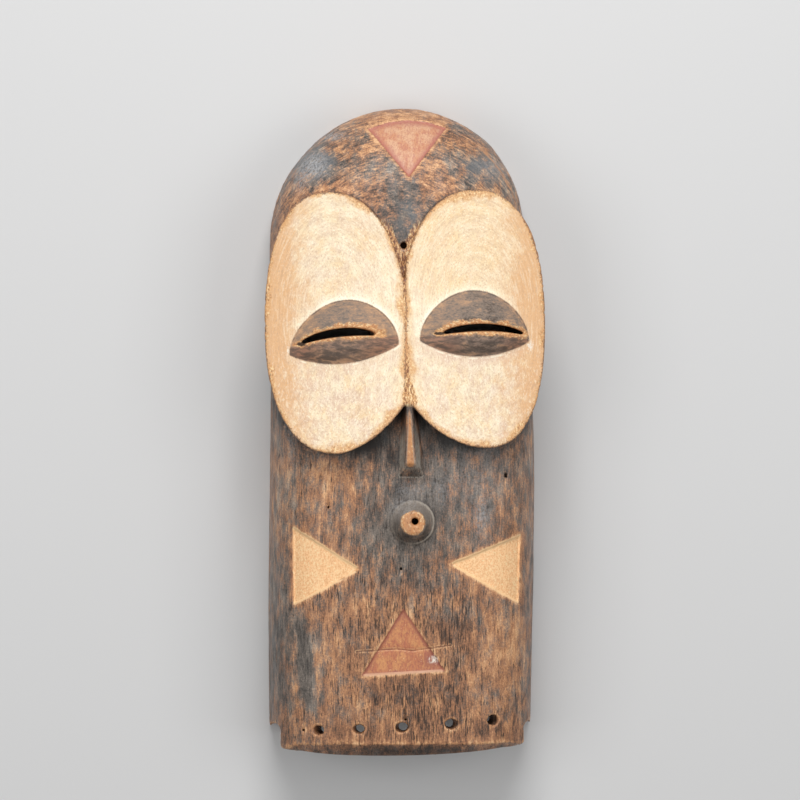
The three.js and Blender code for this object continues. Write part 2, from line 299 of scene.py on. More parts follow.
# Flats left between the solid's stations are drawn onto the true curves
def fairCurves(piece):
    points, normals = readPoints(piece), readNormals(piece)
    zones = zonesOf(points)
    inInlay = zones["inlay"]
    wallFoot = smoothstep(points[:, 2], *carving["foot"])
    bare = (zones["disc"] < -1) & (zones["mouth"] > mouth["foot"] + 1) & (inInlay < -1)
    skins = [
        ((0, 0), bare, 1),
        ((inlayDepth, inlayDepth), inInlay > 1, 1),
        ((blank["sideWall"], blank["frontWall"]), np.ones(len(points), bool), -1),
    ]
    for (side, front), allowed, facing in skins:
        for _ in range(2):
            gap, way = blankGap(points, side, front)
            level = np.einsum("ij,ij->i", way, normals) * facing
            use = allowed & (np.abs(gap) < carving["reach"]) & (level > carving["facing"])
            shift = (gap * use)[:, None] * way
            shift[:, 2] *= wallFoot
            points = points - shift
    for disc in discs:
        drop = plateDepth(disc, points[:, 0], points[:, 1]) - points[:, 2]
        use = (zones["disc"] > 1.5) & (zones["lid"] < -1) & (normals[:, 2] > carving["plateFacing"])
        use &= (np.abs(drop) < carving["plateReach"]) & (points[:, 0] * disc["side"] > 0)
        points[:, 2] += drop * use
    edges = readEdges(piece)
    soft = np.clip(smoothstep(zones["lid"], -2, 1) * smoothstep(-zones["slit"], 0.3, 2), 0, 1)
    soft = np.where(normals[:, 2] > 0.2, soft, 0)
    points = relax(points, edges, carving["lidWear"], carving["wear"] * soft[:, None])
    crisp = carving["inlayKept"] * np.exp(-(inInlay / 2) ** 2)
    points = relax(points, edges, carving["edgeWear"], carving["wear"] * (1 - crisp[:, None]))
    points[:, 2] = np.maximum(points[:, 2], 0)
    writePoints(piece, points)
    print("curves faired")


# Tool marks, grain and wear, each a depth in mm
marks = {
    "adze": 0.45, "grain": 0.3, "domePitting": 0.168, "sidePlaning": 0.35, "scrape": 0.07, "rimChips": 0.7,
    "ridgeWear": 0.35, "ridgeChips": 0.6, "lidStrokes": 0.22, "inlayGrain": 0.12, "inlayLip": 0.25,
    "stubFacets": 0.7, "ringLine": 0.12, "collar": 0.4, "crack": 0.7, "scoop": 0.8, "rubbed": 0.5,
    "crackBeyond": 0.35,  # how much of the crack runs on beyond the chin triangle
}
# The noise of each mark: its size in mm along x, y and z, and its seed
markNoise = {
    "adze": ((13, 46, 30), 1), "grain": ((1.5, 20, 5), 2), "longGrain": ((2.6, 34, 8), 3),
    "pits": ((3.2, 3.2, 3.2), 4), "widePits": ((7, 4, 7), 5), "sidePlaning": ((30, 60, 9), 6),
    "rimChips": ((4, 4, 5), 7), "smallChips": ((1.8, 1.8, 3), 8), "scrape": ((9, 26, 20), 9),
    "ridgeChips": ((1.6, 4.5, 3), 10), "lidStrokes": ((15, 2.4, 6), 11), "lidHairs": ((9, 1.6, 5), 12),
    "inlayGrain": ((1.6, 9, 4), 13), "inlayLip": ((6, 6, 6), 14), "stubFacets": ((5, 5, 7), 15),
    "scoopSides": ((40, 70, 40), 16), "scoopEnds": ((25, 25, 25), 17), "rubbed": ((12, 5, 9), 18),
    "ring": ((9, 9, 20), 19),
}
# Where the marks come in and go out, in mm
fades = {
    "outside": (4, 8), "discEdge": (0, 1.5), "discHeight": (60, 66), "inlayEdge": (0, 0.8),
    "aroundStub": (12, 16), "dome": (110, 165), "rimHeight": (70, 76), "ridgeFoot": (14, 24),
    "ridgeTop": (112, 122), "slitEdge": (0, 2), "stub": (-14, -11), "hollow": (-3, -0.5),
    "hollowFoot": (2, 8), "lowerEnd": (209, 216),
}
scoops = {"wide": 13, "long": 40, "stagger": 0.37, "sideDrift": 0.35, "endDrift": 0.2}
crackLine = [(-33.5, -152.2), (-6, -150.4), (5, -151.6), (31.5, -147.8)]


# One at the middle of a line or ring, and gone a few widths away from it
def hump(distance, wide):
    return np.exp(-(distance / wide) ** 2)


def sculpt(piece):
    points, normals = readPoints(piece), readNormals(piece)
    zones = zonesOf(points)
    x, y, z = points.T
    inner, _ = blankGap(points, blank["sideWall"], blank["frontWall"])

    def noise(name):
        return woodNoise(points, *markNoise[name])

    def fade(values, name):
        return smoothstep(values, *fades[name])

    outside = fade(inner, "outside")
    onDisc = fade(zones["disc"], "discEdge") * fade(z, "discHeight") * outside
    onLid = fade(zones["lid"], "discEdge") * outside
    onInlay = fade(zones["inlay"], "inlayEdge") * outside
    bare = outside * (1 - onDisc) * (1 - onInlay) * fade(zones["mouth"], "aroundStub")
    dome = fade(y, "dome")
    facing = np.clip(normals[:, 2], 0, 1)
    push = np.zeros(len(points))

    push += marks["adze"] * bare * noise("adze")
    groove = smoothstep(noise("grain") + 0.6 * noise("longGrain"), 0.15, 0.9)
    push -= marks["grain"] * bare * (1 - 0.75 * dome) * groove
    push += marks["domePitting"] * bare * dome * (noise("pits") + 0.7 * noise("widePits"))
    push += marks["sidePlaning"] * bare * (1 - facing) * noise("sidePlaning")

    rim = hump(zones["disc"] - 0.5, 2.2) * fade(z, "rimHeight") * outside
    chips = smoothstep(noise("rimChips") + 0.5 * noise("smallChips"), 0.1, 0.9)
    push -= marks["rimChips"] * rim * chips * (1 - hump(x, 4))
    comb = np.sin(zones["disc"] * 2.4 + 2.5 * noise("scrape"))
    push += marks["scrape"] * onDisc * (1 - onLid) * comb

    ridge = hump(x - 0.3, 2.4) * fade(y, "ridgeFoot") * (1 - fade(y, "ridgeTop")) * outside * facing
    push -= ridge * (marks["ridgeWear"] + marks["ridgeChips"] * smoothstep(noise("ridgeChips"), 0, 0.8))

    strokes = noise("lidStrokes") + 0.5 * noise("lidHairs")
    push += marks["lidStrokes"] * onLid * strokes * fade(-zones["slit"], "slitEdge")

    push += marks["inlayGrain"] * onInlay * noise("inlayGrain")
    lip = hump(zones["inlay"] + 0.9, 0.8) * outside * facing
    push += marks["inlayLip"] * lip * (0.6 + 0.6 * noise("inlayLip"))

    push += marks["stubFacets"] * fade(-zones["mouth"], "stub") * outside * noise("stubFacets")
    turned = (1 + 0.6 * noise("ring")) * outside
    push -= marks["ringLine"] * turned * hump(zones["mouth"] - mouth["ring"], 1.2)
    push += marks["collar"] * turned * hump(zones["mouth"] - mouth["foot"] + 0.8, 0.9)

    deep = lerp(marks["crackBeyond"], 1, onInlay)
    push -= marks["crack"] * deep * outside * facing * hump(fromLines(points, crackLine), 0.7)

    hollow = (1 - outside) * fade(-inner, "hollow") * fade(z, "hollowFoot")
    lane = np.where(np.abs(normals[:, 2]) > 0.5, x, z) / scoops["wide"]
    lane += scoops["sideDrift"] * noise("scoopSides")
    reach = y / scoops["long"] + np.floor(lane) * scoops["stagger"] + scoops["endDrift"] * noise("scoopEnds")
    across, run = (lane % 1) * 2 - 1, reach % 1
    push -= marks["scoop"] * hollow * (1 - across ** 2) * (0.5 + 0.5 * np.sin(math.pi * run))

    push += marks["rubbed"] * fade(-y, "lowerEnd") * outside * noise("rubbed")
    points = points + normals * push[:, None]
    points[:, 2] = np.maximum(points[:, 2], 0)
    writePoints(piece, points)
    print("tool marks cut")


# Worm and nail holes: x, y, and how many times wider and taller than the drill
pinHoles = {"deep": 6, "tip": 0.5, "mouth": 1.1, "sunk": 0.35, "sides": 14, "holes": [
    (69.2, -32, 1.5, 2.4), (-2.9, -95.6, 1.0, 1.3), (0.2, -199, 1.0, 1.0), (-69.4, -206.8, 1.0, 1.0),
    (-96.6, 53.2, 0.9, 0.9), (-52.5, -53.5, 0.8, 1.1),
]}


def drillPinHoles(piece):
    drills = []
    deep = pinHoles["deep"] * mm
    for x, y, wide, tall in pinHoles["holes"]:
        found, spot, _, _ = piece.ray_cast(Vector((x * mm, y * mm, 1)), Vector((0, 0, -1)))
        if not found:
            continue
        bpy.ops.object.select_all(action="DESELECT")
        bpy.ops.mesh.primitive_cone_add(
            vertices=pinHoles["sides"], radius1=pinHoles["tip"] * mm, radius2=pinHoles["mouth"] * mm,
            depth=deep, location=(x * mm, y * mm, spot.z - deep * pinHoles["sunk"]))
        bpy.context.object.scale = (wide, tall, 1)
        drills.append(bpy.context.object)
    for drill in drills:
        drill.select_set(True)
    bpy.ops.object.join()
    cutter = bpy.context.object
    applyModifier(piece, "BOOLEAN", operation="DIFFERENCE", solver="MANIFOLD", object=cutter)
    bpy.data.objects.remove(cutter)
    print("pin holes drilled")


def thinOut(piece):
    piece.data.calc_loop_triangles()
    share = carving["triangles"] / len(piece.data.loop_triangles)
    applyModifier(piece, "DECIMATE", decimate_type="COLLAPSE", ratio=min(share, 1),
                  use_collapse_triangulate=True)
    makeActive(piece)
    bpy.ops.object.shade_smooth()
    piece.data.calc_loop_triangles()
    print("thinned to", len(piece.data.loop_triangles), "triangles")


# Where the finish changes: x, y, half width and half height in mm, and how much
stains = {
    # Rubbed bare above 0, and dark below 0: with smoke and oil, with smoke and painted shade just under the
    # discs, as painted shadow of the discs beside the nose, and darker along the bottom bevel at y -222
    "rubbed": [
        (-55, -18, 22, 20, 0.5), (-62, -55, 18, 18, 0.3), (-55, -36, 5, 20, 0.6),
        (-30, -28, 12, 14, 0.25), (60, -32, 16, 16, 0.15), (-20, -125, 22, 20, 0.3),
        (-55, -150, 14, 18, 0.35), (55, -165, 26, 26, 0.4), (0, -200, 60, 14, 0.2),
        (-40, -190, 30, 22, 0.2), (20, -112, 14, 14, 0.2), (75, -140, 12, 26, 0.5),
        # The last on this line darkens the bottom bevel
        (-88, -50, 5, 26, 0.35), (0, -214, 84, 1.8, 0.4), (0, -208, 90, 8, -0.3), (0, -222, 66, 5, -1.3),
        # After the mouth, this line holds smoke with painted shade just under the discs
        (5, -60, 30, 34, -0.6), (-24, -13, 24, 8, -1.5), (34, -6, 26, 6, -1.0), (30, -14, 20, 8, -0.5),
        (42, -40, 24, 20, -0.3), (-72, -138, 4, 12, -0.6), (-69, -156, 6, 14, -0.7),
        # The second and third on this line are painted shadow of the discs beside the nose
        (-66, -174, 6, 14, -0.6), (-9, -22, 6, 18, -0.6), (16, -26, 6, 14, -0.3), (-79, -38, 7, 12, 0.4),
        (-62, -190, 6, 12, -0.5), (-88, -160, 9, 42, -0.6), (-36, -140, 10, 10, -0.4),
        (-56, -158, 20, 34, 0.22), (14, -105, 12, 10, -0.3), (2, -180, 24, 7, -0.6),
        (93, -140, 6, 60, -0.5), (-5, -100, 18, 14, -0.2), (34, -178, 10, 10, -0.35),
        (-72, -30, 6, 26, -0.35), (70, -75, 14, 16, -0.3), (30, -135, 14, 16, -0.4),
        (40, -200, 8, 10, -0.4), (0, 219, 60, 6, 0.8), (-24, 194, 18, 16, 0.4), (24, 186, 10, 12, 0.3),
        (-60, 160, 26, 9, 0.5), (52, 186, 18, 10, 0.1), (-5, 150, 14, 20, -0.5), (18, 168, 12, 12, 0.2),
        (36, 163, 26, 6, 0.2), (66, 165, 14, 26, 0.4), (-30, 172, 14, 6, 0.3), (-1, 126, 6, 8, -0.6),
    ],
    # Warm brown wood above 0, grey smoke below 0
    "warmth": [
        (-45, -35, 20, 24, 0.5), (-75, -30, 10, 30, -0.3), (2, -62, 24, 34, -1.5),
        (50, -35, 34, 34, -0.3), (-60, -150, 16, 40, 0.4), (-88, -140, 8, 60, -0.7),
        (-71, -142, 6, 14, -1.6), (-67, -164, 7, 18, -1.9), (-63, -184, 6, 14, -1.2),
        (0, -160, 44, 50, 0.9), (60, -165, 24, 40, 0.6), (0, -212, 100, 10, 1.0), (0, -222, 60, 5, 0.2),
        (92, -80, 5, 120, 0.1), (-94, -60, 5, 120, 0.2), (0, 219, 60, 6, 1.2), (-52, 150, 34, 10, 0.9),
        (-30, 164, 26, 9, 0.8), (-62, 184, 14, 12, -1.3), (-34, 196, 16, 8, 0.5), (-18, 178, 8, 8, -0.6),
        (2, 146, 13, 22, -0.8), (20, 163, 12, 12, 0.7), (52, 180, 18, 12, -0.8), (62, 152, 12, 12, -0.6),
        (42, 196, 14, 7, 0.5), (-90, 120, 7, 30, 0.6), (26, 190, 8, 10, -0.3),
    ],
    # Dark streaks in the open grain
    "char": [
        (0, -126, 26, 18, 0.9), (34, -146, 10, 26, 1.0), (2, -184, 38, 18, 1.0),
        (-28, -140, 10, 22, 0.5), (22, -204, 40, 10, 0.6), (78, -190, 14, 18, 0.3),
        (-48, -112, 14, 8, 0.6), (-22, -92, 18, 16, 0.4), (48, -122, 14, 10, 0.4),
        (-24, -20, 20, 14, 0.3), (-60, -70, 30, 30, -0.5), (60, -50, 30, 30, -0.7),
        (-88, -140, 9, 60, -0.6), (-66, -165, 8, 28, -0.6), (70, -140, 12, 30, -0.4),
    ],
    # Where the red of the chin has darkened
    "bruise": [
        (18, -158, 10, 7, 1.0), (-24, -164, 6, 4, 0.6), (-1, -130, 5, 6, 0.6),
    ],
    # White dust of the kaolin, caught in corners
    "chalk": [
        (-80, 54, 2.5, 9, 0.8), (-8, 56, 4, 4, 0.6), (86, 57, 4, 7, 0.9), (12, 58, 4, 4, 0.5),
        (-75, 35, 5, 4, 0.7), (19, -158, 6, 5, 1.0), (13.5, -39, 2.5, 5, 0.9), (44, -190, 3, 3, 0.3),
        (28, -44, 3, 5, 0.4), (23, -106, 2.5, 10, 0.5), (-70, 15, 6, 6, 0.5), (-72, -78, 3, 3, 0.5),
        (-70, 105, 30, 4, 0.2), (33, -93, 4, 2.5, 0.7),
    ],
    # A pale bloom over the dark patina; the patches high on the dome's left are painted sheen
    "bloomAndSheen": [
        (-62, 182, 9, 9, 1.3), (-50, 203, 8, 3, 1.0), (-72, 172, 5, 10, 0.6), (60, 180, 12, 7, 0.4),
        (52, -60, 5, 12, 0.6), (24, -44, 6, 8, 0.3), (-78, -10, 4, 18, 0.4), (2, -52, 10, 5, 0.5),
        (10, 140, 8, 10, 0.2), (-60, 118, 20, 5, 0.3), (-94, -60, 4, 130, 0.2), (91, -60, 4, 130, 0.2),
        (0, -57, 8, 6, 0.8), (46, -30, 26, 24, 0.25), (4, -42, 12, 3, 0.5),
    ],
}
# A pale line along the right shoulder of the dome, from one angle to another in degrees
archLine = {"radius": 85.5, "drift": -0.07, "wide": 0.6, "from": (6, 16), "to": (44, 54)}
noting = {"inside": (3, 6), "flankFrom": 88, "crackFrom": 70, "noLine": 99, "softRounds": 4, "softShare": 0.6,
          "evenGrid": (1.6, 3.2), "lidRise": 0.6}
domeSwirl = {"y": 105, "radius": 90, "beyondDiscs": -0.8}


def blots(points, places):
    total = np.zeros(len(points))
    for x, y, wide, tall, much in places:
        out = ((points[:, 0] - x) / wide) ** 2 + ((points[:, 1] - y) / tall) ** 2
        total += much * np.exp(-out)
    return total


def noteZones(piece):
    points, normals, edges = readPoints(piece), readNormals(piece), readEdges(piece)
    zones = zonesOf(points)
    x, y, z = points.T
    notes = {name: zones[name] for name in ("disc", "lid", "slit", "nose", "mouth", *inlays)}
    inner, _ = blankGap(points, blank["sideWall"], blank["frontWall"])
    notes["inside"] = 1 - smoothstep(inner, *noting["inside"])
    notes["plate"] = z - np.where(x < 0, plateDepth(discs[0], x, y), plateDepth(discs[1], x, y))
    notes["flank"] = np.where(z > noting["flankFrom"], fromLines(points, nose["flanks"]), noting["noLine"])
    notes["crack"] = np.where(z > noting["crackFrom"], fromLines(points, crackLine), noting["noLine"])
    notes["ridge"] = fromLines(points, ridgeLine)

    along, up = x - blank["archX"], y - blank["springY"]
    angle = np.degrees(np.arctan2(up, along))
    within = smoothstep(angle, *archLine["from"]) * (1 - smoothstep(angle, *archLine["to"]))
    off = np.hypot(along, up) - archLine["radius"] - archLine["drift"] * angle
    notes["archLine"] = within * hump(off, archLine["wide"])

    # Edges stand out from the softened skin, and creases lie behind it
    soft = relax(points, edges, noting["softRounds"], noting["softShare"])
    a, b = edges.T
    length = np.linalg.norm(points[a] - points[b], axis=1)
    total = np.bincount(a, length, len(points)) + np.bincount(b, length, len(points))
    even = 1 - smoothstep(total / np.bincount(edges.ravel(), minlength=len(points)), *noting["evenGrid"])
    notes["edge"] = even * np.einsum("ij,ij->i", points - soft, normals)

    # How far above or below the line of its slit a point lies
    upper = np.zeros(len(points))
    for lens in slits:
        (startX, startY), (endX, endY) = lens["from"], lens["to"]
        share = (x - startX) / (endX - startX)
        rise = noting["lidRise"] * lens["above"] * np.sin(math.pi * np.clip(share, 0, 1))
        upper = np.where(x * startX > 0, y - (lerp(startY, endY, share) + rise), upper)
    notes["upper"] = upper

    for name, places in stains.items():
        notes[name] = blots(points, places)
    for name, values in notes.items():
        layer = piece.data.attributes.new(name, "FLOAT", "POINT")
        layer.data.foreach_set("value", values.astype(np.float32))

    # Strokes run round each disc, and round the dome
    flow = np.zeros((len(points), 3), np.float32)
    swirls = [(x * disc["side"] > 0, disc["x"], disc["y"], disc["outer"], disc["half"]) for disc in discs]
    onBlank = zones["disc"] < domeSwirl["beyondDiscs"]
    swirls.append((onBlank, blank["archX"], domeSwirl["y"], domeSwirl["radius"], domeSwirl["radius"]))
    for use, middleX, middleY, wide, tall in swirls:
        dx, dy = (x - middleX) / wide, (y - middleY) / tall
        size = np.maximum(np.hypot(dx, dy), 1e-3)
        flow[use] = np.stack([dx / size, dy / size, size * wide], 1)[use]
    layer = piece.data.attributes.new("flow", "FLOAT_VECTOR", "POINT")
    layer.data.foreach_set("vector", flow.ravel())
    print("zones noted")
    return list(notes)


# One material covers the mask, and all that follows adds nodes to it
paintedWood = bpy.data.materials.new("paintedWood")
paintedWood.use_nodes = True
tree = paintedWood.node_tree


def addNode(kind, inputs=None, **settings):
    made = tree.nodes.new(kind)
    for name, value in settings.items():
        setattr(made, name, value)
    for socket, value in (inputs or {}).items():
        if isinstance(value, bpy.types.NodeSocket):
            tree.links.new(value, made.inputs[socket])
        else:
            made.inputs[socket].default_value = value
    return made


place = addNode("ShaderNodeTexCoord").outputs["Object"]


def readNote(name):
    return addNode("ShaderNodeAttribute", attribute_name=name).outputs["Fac"]


def axes(vector):
    return addNode("ShaderNodeSeparateXYZ", {0: vector}).outputs


def calc(kind, *values):
    return addNode("ShaderNodeMath", dict(enumerate(values)), operation=kind).outputs[0]


def plus(first, second):
    return calc("ADD", first, second)


def times(share, *others):
    for other in others:
        share = calc("MULTIPLY", share, other)
    return share


# A start value with layers on it, each with how much it counts
def stack(total, *layers):
    for value, much in layers:
        total = calc("MULTIPLY_ADD", value, much, total)
    return total


# The same, with the amounts kept in a recipe
def layered(recipe, layers):
    return stack(recipe["start"], *[(layers[name], recipe[name]) for name in recipe if name != "start"])


def band(value, low, high, bottom=0.0, top=1.0):
    inputs = {"Value": value, "From Min": low, "From Max": high, "To Min": bottom, "To Max": top}
    return addNode("ShaderNodeMapRange", inputs, interpolation_type="SMOOTHSTEP").outputs[0]


# Full at the middle and gone a width away on either side
def near(value, middle, width, top=1.0):
    return band(calc("ABSOLUTE", plus(value, -middle)), width, width * 0.25, 0, top)


def mixed(share, first, second):
    return addNode("ShaderNodeMix", {0: share, 2: first, 3: second}).outputs[0]


# Two colours, each a socket or the name of a paint
def blend(share, first, second):
    first, second = [paint[value] if isinstance(value, str) else value for value in (first, second)]
    return addNode("ShaderNodeMix", {0: share, 6: first, 7: second}, data_type="RGBA").outputs[2]


def moved(vector, scale, shift):
    inputs = {"Vector": vector, "Scale": scale, "Location": shift}
    return addNode("ShaderNodeMapping", inputs).outputs[0]


def noiseOn(vector, detail, rough, swirl=0.0):
    inputs = {"Vector": vector, "Scale": 1.0, "Detail": detail, "Roughness": rough, "Distortion": swirl}
    return addNode("ShaderNodeTexNoise", inputs).outputs["Fac"]


# Coats over a ground, each a paint and where it lies
def coated(skin, coats):
    for over, share in coats:
        skin = blend(share, skin, over)
    return skin


# Noise whose features measure wide by tall by deep, in mm
def speckle(size, detail, rough, offset, swirl=0.0):
    scale = [1 / (side * mm) for side in size]
    return noiseOn(moved(place, scale, (offset, offset * 0.7, offset * 1.3)), detail, rough, swirl)


def speckles(grain):
    return {name: speckle(*recipe) for name, recipe in grain.items()}


# Noise drawn out along the strokes noted on the piece
def stroked(scale, detail):
    flow = addNode("ShaderNodeAttribute", attribute_name="flow").outputs["Vector"]
    return noiseOn(moved(flow, scale, (0, 0, 0)), detail, 0.6)


def colour(red, green, blue):
    linear = [(c / 255 + 0.055) / 1.055 for c in (red, green, blue)]
    return tuple(c ** 2.4 for c in linear) + (1.0,)


def ramp(value, stops):
    made = addNode("ShaderNodeValToRGB", {0: value})
    elements = made.color_ramp.elements
    while len(elements) < len(stops):
        elements.new(0.5)
    for element, (spot, name) in zip(elements, stops):
        element.position, element.color = spot, paint[name]
    return made.outputs[0]


# What the finishes are mixed from, in red, green and blue
paints = {
    "burntAndShade": (44, 34, 28), "sootAndShade": (48, 44, 41), "smoke": (80, 74, 69),
    "slate": (112, 103, 95), "ash": (144, 133, 122), "paleAsh": (180, 170, 156),
    "umber": (98, 70, 52), "rust": (148, 104, 76), "bareWood": (188, 136, 96),
    "paleWood": (222, 176, 132), "orangeWood": (196, 138, 90), "redBrown": (118, 76, 54),
    "bloomAndSheen": (176, 176, 178), "steel": (104, 112, 118), "worn": (156, 148, 136),
    "kaolin": (236, 217, 184), "kaolinBright": (252, 244, 220), "kaolinGold": (236, 202, 152),
    "kaolinRose": (220, 190, 168), "kaolinTan": (220, 172, 124), "rimTan": (212, 160, 108),
    "scratch": (192, 160, 134), "fleck": (244, 218, 170), "chalk": (240, 232, 218),
    "lidDark": (84, 72, 64), "lidGrey": (128, 114, 103), "lidTaupe": (158, 130, 108),
    "lidTan": (196, 154, 118), "lidRed": (142, 98, 78),
    "cheek": (246, 194, 142), "cheekDark": (222, 168, 118), "cheekLight": (246, 208, 158),
    "chin": (187, 118, 85), "chinDark": (150, 88, 78), "chinWorn": (207, 146, 97),
    "brow": (198, 140, 106), "browDark": (168, 98, 88), "browWearAndHighlight": (212, 168, 134),
    "hollowWood": (128, 92, 66), "hollowDark": (70, 52, 42),
}
paint = {name: colour(*shade) for name, shade in paints.items()}
coolWood = [(0.1, "sootAndShade"), (0.3, "smoke"), (0.5, "slate"), (0.7, "ash"), (0.9, "paleAsh")]
warmWood = [(0.1, "burntAndShade"), (0.3, "umber"), (0.5, "rust"), (0.7, "bareWood"), (0.9, "paleWood")]
lidWood = [(0.15, "lidDark"), (0.38, "lidGrey"), (0.58, "lidTaupe"), (0.85, "lidTan")]

# The grain of the smoked wood: size in mm, detail, roughness, offset and swirl of each noise
woodGrain = {
    "boardPatches": ((6, 16, 12), 5, 0.6, 3), "domePatches": ((8, 6, 8), 6, 0.68, 3, 0.8),
    "boardStreaks": ((1.2, 14, 5), 4, 0.62, 11), "boardHairs": ((0.6, 7, 3), 2, 0.6, 23),
    "grit": ((1.0, 1.2, 1.1), 3, 0.72, 37), "shade": ((8, 17, 12), 5, 0.65, 47),
    "haze": ((1.4, 1.8, 1.8), 4, 0.7, 53), "fibres": ((0.8, 8, 4), 3, 0.6, 61),
}
# How its noises add up to how light it is, and to how warm; heights are in m, as Blender has them
woodTone = {"start": -1.65, "patches": 1.3, "streaks": 0.5, "hairs": 0.6, "sharp": 0.35, "grit": 0.9}
# Rubbed wear, worn edges, the pale fringe by the triangles, and smoke with painted shade under the discs,
# each with how much it counts
woodWearAndShade = {"rubbed": 0.22, "edge": 0.2, "fringe": 0.08, "under": -0.25}
woodHue = {"start": -1.9, "shade": 2.6, "tone": 0.8, "hairs": 0.7, "grit": 0.7, "warmth": 0.5, "fringe": 0.3}
woodLook = {
    "dome": (0.1, 0.16), "underDiscs": (0.05, 0.02), "boardTone": 0.53, "domeTone": 0.5,
    "boardContrast": 0.82, "fringe": (-4.5, -0.5), "chill": 0.45, "openGrain": 0.85, "bloomAndSheen": 0.8,
    "crease": 0.6,
}


def woodFinish(notes):
    look = woodLook
    noise = speckles(woodGrain)
    y = axes(place)[1]
    dome = band(y, *look["dome"])
    patches = mixed(dome, noise["boardPatches"], noise["domePatches"])
    streaks = mixed(dome, noise["boardStreaks"], stroked((7, 7, 0.6), 5))
    hairs = mixed(dome, noise["boardHairs"], stroked((14, 14, 1.1), 4))
    border = calc("MAXIMUM", calc("MAXIMUM", notes["brow"], notes["chin"]), notes["cheek"])
    layers = {
        **noise, **notes, "patches": patches, "streaks": streaks, "hairs": hairs,
        "sharp": times(dome, plus(hairs, -0.5)), "fringe": band(border, *look["fringe"]),
        # Smoke stain with painted shade just under the discs
        "under": times(band(notes["disc"], -8, -0.5), band(y, *look["underDiscs"])),
        "edge": band(notes["edge"], 0.04, 0.25),
    }
    contrast = (layered(woodTone, layers), mixed(dome, look["boardContrast"], 1.0))
    tone = stack(mixed(dome, look["boardTone"], look["domeTone"]), contrast)
    tone = layered({"start": tone, **woodWearAndShade}, layers)
    hue = layered(woodHue, {**layers, "tone": tone})
    skin = blend(band(hue, 0.0, 1.0), ramp(tone, coolWood), ramp(tone, warmWood))
    chill = times(dome, band(notes["warmth"], -0.1, -0.8, 0, look["chill"]))
    pores = stack(0.42, (noise["fibres"], -1.0), (notes["char"], 0.09))
    return coated(skin, [
        ("steel", times(chill, band(patches, 0.6, 0.45))),
        ("burntAndShade", times(band(pores, 0, 0.07, 0, look["openGrain"]), band(dome, 1, 0.6))),
        # Pale bloom, with painted sheen high on the dome's left
        ("bloomAndSheen", times(notes["bloomAndSheen"], band(noise["haze"], 0.34, 0.66), look["bloomAndSheen"])),
        # Painted shade in the creases
        ("burntAndShade", band(notes["edge"], -0.25, -0.05, look["crease"], 0)),
        ("bareWood", times(notes["archLine"], band(hairs, 0.35, 0.5))),
    ])


# The kaolin on the discs, brushed on in rings above and dabbed on below
kaolinGrain = {
    "dabs": ((1.8, 4.5, 4.5), 4, 0.64, 71, 0.9), "dots": ((0.9, 1.3, 1.1), 2, 0.6, 79),
    "gold": ((13, 18, 18), 6, 0.68, 83), "rose": ((8, 12, 12), 6, 0.7, 97),
    "white": ((9, 12, 12), 6, 0.7, 113), "grime": ((5, 7, 7), 4, 0.7, 101),
    "sweep": ((24, 24, 24), 2, 0.5, 107), "flecks": ((1.3, 1.8, 1.8), 3, 0.65, 109),
}
# middle is the painted highlight near the ridge; outerFrom, outerTo and outer give the tan of worn pigment
# and painted shade on the discs' outer sides
kaolinLook = {
    "low": (0.07, 0.03), "middle": 0.2, "warmTop": 0.35, "outerFrom": 0.058, "outerTo": 0.088, "outer": 0.9,
    "highScratch": 0.24, "lowScratch": 0.34, "highStroke": 0.26, "lowStroke": 0.38, "fineScratch": 0.5,
    "fineLight": 0.55, "rim": 0.85, "rimDark": 0.75, "nick": 0.8,
}


